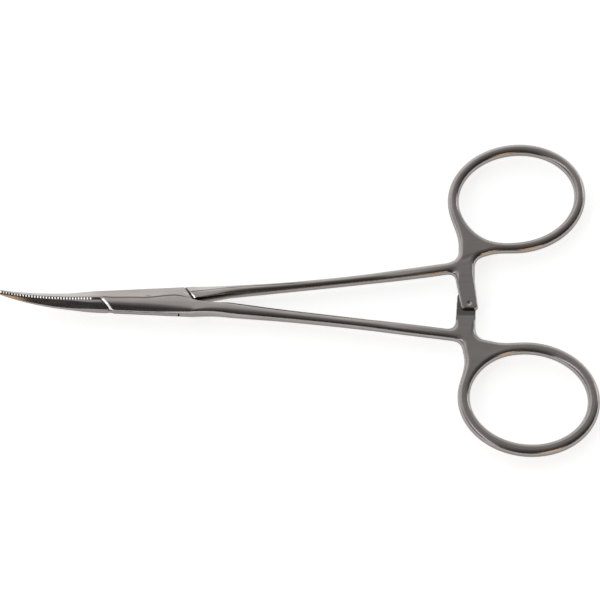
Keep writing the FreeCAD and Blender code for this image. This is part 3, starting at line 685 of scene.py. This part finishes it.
# %% [markdown]
# The upper half is made of three parts that touch: the lower jaw, the thin blade that
# passes through the slot, and the root with its shoulders, from which the shank goes on.
# The blade's ends slant like the slot's, so that it can swing.

# %% The half with the blade
def upper_half(x, y, z):
    """Lower jaw, blade, upper shank and upper handle."""
    behind = rear(x, y, z, UPPER)
    if np.min(x) > FRONT_END:
        return behind
    jaw = both(front_bar(x, y, z), y + gap_line(x), 0.06)
    jaw = both(jaw, -cheek_line(x, y, -1, SHOULDER_GAP), 0.1)
    jaw = np.maximum(jaw, -grooves(x, y, z))
    blade = both(np.abs(z - MID) - BLADE_HALF, np.abs(y) - box_side(x), 0.08)
    end, tilt = SLOT_FAR - BLADE_END_GAP, math.hypot(1.0, SLOT_SLOPE)
    for way in (-1, 1):
        blade = both(blade, (way * (x - SLOT_SLOPE * y) - end) / tilt, 0.05)
    outer = box_side(x)
    root = bar(y, z - MID, 0.05, outer, 0.1, outer - UPPER.root_bevel, MID, 0.15, 0.03)
    root = both(root, -cheek_line(x, y, 1, SHOULDER_GAP), 0.1)
    root = both(root, shoulder_bevel(x, y, z), 0.06)
    front = np.minimum(np.minimum(jaw, blade), root)
    return melt(front, behind, x, 9.7, FRONT_END)


print("steel of the blade half at the hinge:", bool(upper_half(*hinge) < 0.0))

# %% [markdown]
# ## The skin
# A field becomes a mesh by surface nets. Space is cut into small cells. Each cell that
# the surface crosses gets one vertex, at the mean of the crossings on its edges, and
# every grid edge that crosses the surface gets a quad between its four cells. Blender's
# own volume mesher takes only cubes, and cubes fine enough for the serrations would make
# millions of faces. Here the cells are finest at the jaws and longest on the shanks.

# %% Where grid edges cross the surface
def crossings(value, lines, axis):
    """Grid edges along an axis that cross the surface: their place, start cell and direction."""
    low, high = [slice(None)] * 3, [slice(None)] * 3
    low[axis], high[axis] = slice(0, -1), slice(1, None)
    first, second = value[tuple(low)], value[tuple(high)]
    start = np.argwhere((first < 0.0) != (second < 0.0))
    i = tuple(start.T)
    share = first[i] / (first[i] - second[i])
    point = np.stack([lines[a][start[:, a]] for a in range(3)], 1)
    point[:, axis] += share * (lines[axis][start[:, axis] + 1] - lines[axis][start[:, axis]])
    return point, start, (first[i] < 0.0) != (axis == 1)


ball_lines = (np.linspace(-1.5, 1.5, 13, dtype=np.float32),) * 3
ball = np.sqrt(sum(axis ** 2 for axis in np.meshgrid(*ball_lines, indexing="ij"))) - 1.0
print("crossings of a ball along X:", len(crossings(ball, ball_lines, 0)[1]))

# %% A net of quads
def surface_net(value, lines):
    """Vertices and quads of the surface where the sampled field is 0."""
    shape = tuple(count - 1 for count in value.shape)
    last = np.array(shape) - 1
    total, weight, quads = np.zeros(shape + (3,), np.float32), np.zeros(shape, np.float32), []
    for axis in range(3):
        point, start, outward = crossings(value, lines, axis)
        others = [a for a in range(3) if a != axis]
        around = []
        for steps_back in ((0, 0), (1, 0), (1, 1), (0, 1)):
            cell = start.copy()
            cell[:, others] -= steps_back
            good = np.all((cell >= 0) & (cell <= last), axis=1)
            np.add.at(total, tuple(cell[good].T), point[good])
            np.add.at(weight, tuple(cell[good].T), 1.0)
            index = np.ravel_multi_index(tuple(np.clip(cell, 0, last).T), shape)
            around.append(np.where(good, index, -1))
        quad = np.stack(around, 1)
        quad[~outward] = quad[~outward][:, ::-1]
        quads.append(quad[np.all(quad >= 0, axis=1)])
    used = np.argwhere(weight > 0)
    points = (total[tuple(used.T)] / weight[tuple(used.T)][:, None]).astype(float)
    number = np.full(shape, -1)
    number[tuple(used.T)] = np.arange(len(used))
    return points, number.ravel()[np.concatenate(quads)]


print("the ball's vertices and quads:", [len(part) for part in surface_net(ball, ball_lines)])

# %% [markdown]
# The net alone is a little bumpy, which steel would show at once. So each vertex slides
# onto the exact surface along the field's slope, and the same slope is handed to Blender
# as the vertex's normal. The reflections then run as smoothly as the field itself.

# %% Slide the vertices onto the surface
SLIDE_MOST = 0.06


def slope_at(field, points, h=0.004):
    """The field's slope at each point, from small steps to either side."""
    ways = []
    for step in h * np.eye(3):
        ways.append((field(*(points + step).T) - field(*(points - step).T)) / (2 * h))
    return np.stack(ways, 1)


def settle(field, points):
    """The points, slid onto the surface in three short moves, and the surface's normals there."""
    for move in range(3):
        way = slope_at(field, points)
        off = field(*points.T) / np.maximum((way ** 2).sum(1), 0.05)
        points = points + np.clip(-off[:, None] * way, -SLIDE_MOST, SLIDE_MOST)
    normals = slope_at(field, points)
    return points, normals / (np.linalg.norm(normals, axis=1)[:, None] + 1e-9)


def ball_field(x, y, z):
    return np.sqrt(x ** 2 + y ** 2 + z ** 2) - 1.0


settled = settle(ball_field, surface_net(ball, ball_lines)[0])[0]
print("the ball's vertices are now off by", round(float(np.abs(ball_field(*settled.T)).max()), 6))

# %% [markdown]
# The points also keep two values for the material: where the two bevels get their painted
# highlight, and how many serrations lie before them on the jaw. The material reads them as attributes.

# %% From a field to a mesh object
def skin(name, field, grid_x, grid_y, grid_z, slab=48):
    """One mesh object for a field, sampled on the grid a slab at a time."""
    value = np.concatenate([field(grid_x[start:start + slab, None, None], grid_y[None, :, None],
                                  grid_z[None, None, :]) for start in range(0, len(grid_x), slab)])
    points, quads = surface_net(value, (grid_x, grid_y, grid_z))
    points, normals = settle(field, points)
    mesh = bpy.data.meshes.new(name)
    mesh.from_pydata((points * 0.001).tolist(), [], quads.tolist())
    mesh.update()
    mesh.shade_smooth()
    mesh.normals_split_custom_set_from_vertices(normals.tolist())
    teeth = jaw_arc(points[:, 0], points[:, 2]) / TOOTH_PITCH
    # the first value marks the bevels whose near-white colour is a painted highlight
    for label, values in (("bevel_glint", bevel_glint(*points.T)), ("teeth", teeth)):
        layer = mesh.attributes.new(label, "FLOAT", "POINT")
        layer.data.foreach_set("value", values.astype(np.float32))
    piece = bpy.data.objects.new(name, mesh)
    bpy.context.scene.collection.objects.link(piece)
    print(name, "triangles:", 2 * len(quads))
    return piece


print("a skin carries the values bevel_glint and teeth")

# %% Cut space into cells
def grid_lines(*runs):
    """Grid lines from runs of (start, end, spacing)."""
    lines = [np.arange(round((end - start) / spacing)) * spacing + start
             for start, end, spacing in runs]
    return np.concatenate(lines + [[runs[-1][1]]]).astype(np.float32)


GRID_X = grid_lines((-31.15, 10.4, 0.13), (10.4, 60.0, 0.35), (60.0, 96.0, 0.21))
GRID_Z = grid_lines((-0.2, 4.4, 0.13), (4.4, 8.6, 0.14))
print("grid lines along X and Z:", len(GRID_X), len(GRID_Z))

# %% [markdown]
# The skins are made one at a time, each on a grid that is finest across the gap between
# the jaws and coarser across the ring.

# %% Skin both halves
lower = skin("lower_half_steel", lower_half, GRID_X,
             grid_lines((-36.2, -12.0, 0.21), (-12.0, -4.4, 0.18), (-4.4, -0.6, 0.14),
                        (-0.6, 0.6, 0.1), (0.6, 3.5, 0.14)), GRID_Z)
upper = skin("upper_half_steel", upper_half, GRID_X,
             grid_lines((-3.5, -0.6, 0.13), (-0.6, 0.6, 0.1), (0.6, 4.4, 0.13),
                        (4.4, 12.0, 0.18), (12.0, 36.8, 0.21)), GRID_Z)

# %% [markdown]
# ## The steel
# The real halves are forged, ground and tumbled to a satin shine. A picture of scratched
# metal could be wrapped around them, but it would stretch on the rings and repeat. The
# finish is made of small rules instead, which read the place and the facing of a point.
# First the tone. The walls are darker than the proud faces, which is painted shade, the
# shanks are a little darker than the box, and the level faces of the webs carry painted
# shade too. A slow noise lets the tone drift, as hand polishing does, and a
# noise that is stretched along X gives the fine streaks of the grinding belt.

# %% The tone, with painted shade on the walls and webs
def tone_with_painted_shade(tree, where, upright, grain, waves):
    """How light the metal is, with painted shade on the walls and on the webs' level faces; upright is 1
    on level faces and 0 on walls.
    """
    # painted shade: walls are darker than level faces
    walls = ramp(tree, upright, [(0.05, 0.42), (0.5, 0.80), (0.88, 1.0)])
    drift = ramp(tree, waves.outputs["Fac"], [(0.3, 0.88), (0.7, 1.0)])
    streaks = ramp(tree, grain.outputs["Fac"], [(0.38, 0.93), (0.6, 1.0)])
    behind = product(tree, where.outputs["X"], 10.0)        # 0.1 stands for 10 mm
    shanks = ramp(tree, behind, [(0.13, 1.0), (0.26, 0.86)])
    handles = ramp(tree, behind, [(0.52, 0.0), (0.64, 1.0)])
    flat = ramp(tree, upright, [(0.93, 0.0), (0.99, 1.0)])
    # painted shade on the level faces of the handles' webs
    webs = arithmetic(tree, "MULTIPLY_ADD", product(tree, handles, flat), -0.42, 1.0)
    return product(tree, walls, drift, webs, streaks, shanks)


# the share of the tone that the painted shade leaves on the webs' level faces
print("webs are dulled to", 1.0 - 0.42, "of the tone")

# %% [markdown]
# Two ground faces meet in a crease, and a fine dark line of painted shade runs along it:
# along the box, and along the upper shank's root. The line is thinner than a face of the mesh,
# so it is drawn by the material: a ramp gives the line's distance from the middle for
# each x, and what lies within a fifth of a millimetre of it is shaded.

# %% The painted shade along a crease
def crease_shade(tree, where, upright, ridge):
    """A fine line of painted shade; ridge is its run, as (x, y) in millimetres, with y under 4."""
    low, high = ridge[0][0], ridge[-1][0]
    run = arithmetic(tree, "MULTIPLY_ADD", where.outputs["X"], 1000.0 / (high - low), -low / (high - low))
    line = ramp(tree, run, [((x - low) / (high - low), y / 4.0) for x, y in ridge])
    off = arithmetic(tree, "MULTIPLY_ADD", where.outputs["Y"], 1000.0, product(tree, line, -4.0))
    # painted shade: the steel is darkened near the crease's line
    near = ramp(tree, arithmetic(tree, "ABSOLUTE", off), [(0.10, 0.68), (0.20, 0.0)])
    ends = ramp(tree, run, [(0.0, 0.0), (0.05, 1.0), (0.85, 1.0), (0.995, 0.0)])
    proud = ramp(tree, upright, [(0.75, 0.0), (0.85, 1.0)])
    return arithmetic(tree, "SUBTRACT", 1.0, product(tree, near, ends, proud))


BOX_CREASE = [(x, y) for x, y in zip(CREASE_X, CREASE_Y) if x > -12.0]
SHANK_CREASE = [(8.0, 1.4), (10.9, 1.84), (15.0, 2.42), (20.0, 2.95), (28.0, 3.5), (34.0, 3.9)]
print("dark lines, mm:", [round(crease[-1][0] - crease[0][0], 1) for crease in (BOX_CREASE, SHANK_CREASE)])

# %% [markdown]
# Along the closed jaws the material paints a dark seam, a painted shade over the gap, and
# along it a row of bright points: the upper ends of the serrations, whose slanted floors
# mirror the strip lamp. Each point is a third of a millimetre across, and the mesh's own
# steps there are an eighth, which would blur it. So the material tells the serrations from
# their count along the jaw, turns the normal there to the slant of their floors, and paints them nearly
# white, a painted highlight.

# %% The seam and the points of the serrations
FLOOR_NORMAL = (-0.36, -0.30, 0.88)


def serration_marks(tree, where):
    """What the painted shade of the seam leaves of the tone, and 1 at each serration's point, where a
    highlight is painted.
    """
    beside = arithmetic(tree, "ABSOLUTE", product(tree, where.outputs["Y"], 1000.0))
    ahead = product(tree, where.outputs["X"], -30.0)        # 0.03 stands for 1 mm ahead of the hinge
    jaws = ramp(tree, ahead, [(0.294, 0.0), (0.297, 1.0)])
    # painted shade along the seam between the closed jaws
    seam = product(tree, ramp(tree, beside, [(0.26, 1.0), (0.34, 0.0)]), jaws)
    count = wire(tree, "ShaderNodeAttribute", attribute_name="teeth").outputs["Fac"]
    # the points of the serrations, which get a painted highlight
    notch = ramp(tree, arithmetic(tree, "PINGPONG", count, 0.5), [(0.20, 1.0), (0.29, 0.0)])
    close = ramp(tree, beside, [(0.20, 1.0), (0.25, 0.0)])
    toothed = ramp(tree, ahead, [(0.345, 0.0), (0.350, 1.0)])
    return arithmetic(tree, "MULTIPLY_ADD", seam, -0.8, 1.0), product(tree, notch, close, toothed)


def steel_normal(tree, grain, waves, points):
    """The grain and the slow waves as a faint bump, and the slanted floors at the points."""
    heights = arithmetic(tree, "MULTIPLY_ADD", waves.outputs["Fac"], 12.0, grain.outputs["Fac"])
    bump = wire(tree, "ShaderNodeBump", Height=heights, Strength=0.25, Distance=0.00002)
    slant = wire(tree, "ShaderNodeVectorTransform", vector_type="NORMAL", convert_from="OBJECT",
                 convert_to="WORLD", Vector=FLOOR_NORMAL)
    return wire(tree, "ShaderNodeMix", data_type="VECTOR", Factor=points,
                A=bump.outputs["Normal"], B=slant.outputs["Vector"]).outputs["Result"]


print("points of the serrations face", FLOOR_NORMAL)

# %% [markdown]
# Now the material itself. It is bare metal with a warm grey tint. The two bevels and the
# points of the serrations are painted nearly white, a painted highlight, and are a little smoother than
# the rest.

# %% Mix the satin steel
# painted highlight: the near-white colour of the two bevels and the serrations' points
GLINT_WHITE = (0.92, 0.91, 0.90, 1.0)


def satin_steel(name, tint, roughness, ridge=None):
    """Ground and tumbled steel with a painted seam shade and painted highlights, and the painted shade of
    a crease if a ridge is given.
    """
    steel = bpy.data.materials.new(name)
    steel.use_nodes = True
    tree = steel.node_tree
    shader = tree.nodes["Principled BSDF"]
    shader.inputs["Metallic"].default_value = 1.0
    coordinates = tree.nodes.new("ShaderNodeTexCoord").outputs
    where = wire(tree, "ShaderNodeSeparateXYZ", Vector=coordinates["Object"])
    facing = wire(tree, "ShaderNodeSeparateXYZ", Vector=coordinates["Normal"])
    upright = arithmetic(tree, "ABSOLUTE", facing.outputs["Z"])
    along = wire(tree, "ShaderNodeMapping", Vector=coordinates["Object"], Scale=(90.0, 1400.0, 1400.0))
    grain = wire(tree, "ShaderNodeTexNoise", Vector=along.outputs["Vector"], Scale=1.0, Detail=3.0)
    waves = wire(tree, "ShaderNodeTexNoise", Vector=coordinates["Object"], Scale=160.0, Detail=2.0)

    # painted shade along the seam, and the points that get a painted highlight
    seam, points = serration_marks(tree, where)
    tone = tone_with_painted_shade(tree, where, upright, grain, waves)
    if ridge:
        tone = product(tree, tone, crease_shade(tree, where, upright, ridge))
    # painted highlight: where the two bevels and the points turn nearly white
    mark = wire(tree, "ShaderNodeAttribute", attribute_name="bevel_glint").outputs["Fac"]
    painted_glint = arithmetic(tree, "MAXIMUM", mark, points)
    metal = wire(tree, "ShaderNodeMix", data_type="RGBA", blend_type="MULTIPLY", Factor=1.0,
                 A=(*tint, 1.0), B=product(tree, tone, seam))
    colour = wire(tree, "ShaderNodeMix", data_type="RGBA", Factor=painted_glint,
                  A=metal.outputs["Result"], B=GLINT_WHITE)
    spread = arithmetic(tree, "MULTIPLY_ADD", grain.outputs["Fac"], 0.12, roughness - 0.06)
    smooth = arithmetic(tree, "MULTIPLY_ADD", painted_glint, -0.10, spread)
    tree.links.new(colour.outputs["Result"], shader.inputs["Base Color"])
    tree.links.new(smooth, shader.inputs["Roughness"])
    tree.links.new(steel_normal(tree, grain, waves, points), shader.inputs["Normal"])
    print(name, "nodes:", len(tree.nodes))
    return steel


STEEL_TINT, RIVET_TINT = (0.61, 0.563, 0.54), (0.61, 0.585, 0.57)
lower_steel = satin_steel("satin_steel_box_half", STEEL_TINT, 0.22, BOX_CREASE)
upper_steel = satin_steel("satin_steel_blade_half", STEEL_TINT, 0.22, SHANK_CREASE)
rivet_steel = satin_steel("rivet_steel_ground", RIVET_TINT, 0.24)

# %% [markdown]
# ## The rivet
# The rivet goes through both cheeks and the blade. It is ground flush and polished over,
# so that nothing of it shows when the forceps are new. It is made all the same, because
# the hinge turns on it: a plain steel rod with softened ends, a hair inside the cheeks.

# %% Turn the rivet
RIVET_RADIUS, RIVET_LENGTH, RIVET_EDGE = 1.0, 3.95, 0.12

bpy.ops.mesh.primitive_cylinder_add(vertices=64, radius=0.001 * RIVET_RADIUS,
                                    depth=0.001 * RIVET_LENGTH, location=(0, 0, 0.001 * MID))
rod = bpy.context.object
rod.name = "rivet"
soften = rod.modifiers.new("soft ends", "BEVEL")
soften.width, soften.segments = 0.001 * RIVET_EDGE, 3
bpy.ops.object.modifier_apply(modifier=soften.name)
rod.data.shade_smooth()
print("rivet, mm:", [round(1000 * side, 2) for side in rod.dimensions])

# %% [markdown]
# ## Dressing
# Each new piece gets its steel, is tied to the body that it moves with, and hides the
# forged solid it stands for. The box half and the rivet ride on the box side, and the blade half on the
# blade side.

# %% Dress both halves and the rivet
for piece, steel, stands_for, body, finish in (
        (lower, lower_steel, "female_half", "box_side", "satin_steel"),
        (upper, upper_steel, "male_half", "blade_side", "satin_steel"),
        (rod, rivet_steel, "pivot_pin", "box_side", "rivet_steel")):
    piece.data.materials.clear()
    piece.data.materials.append(steel)
    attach(piece, body)
    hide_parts(stands_for)
    print(piece.name, "rides on", body)
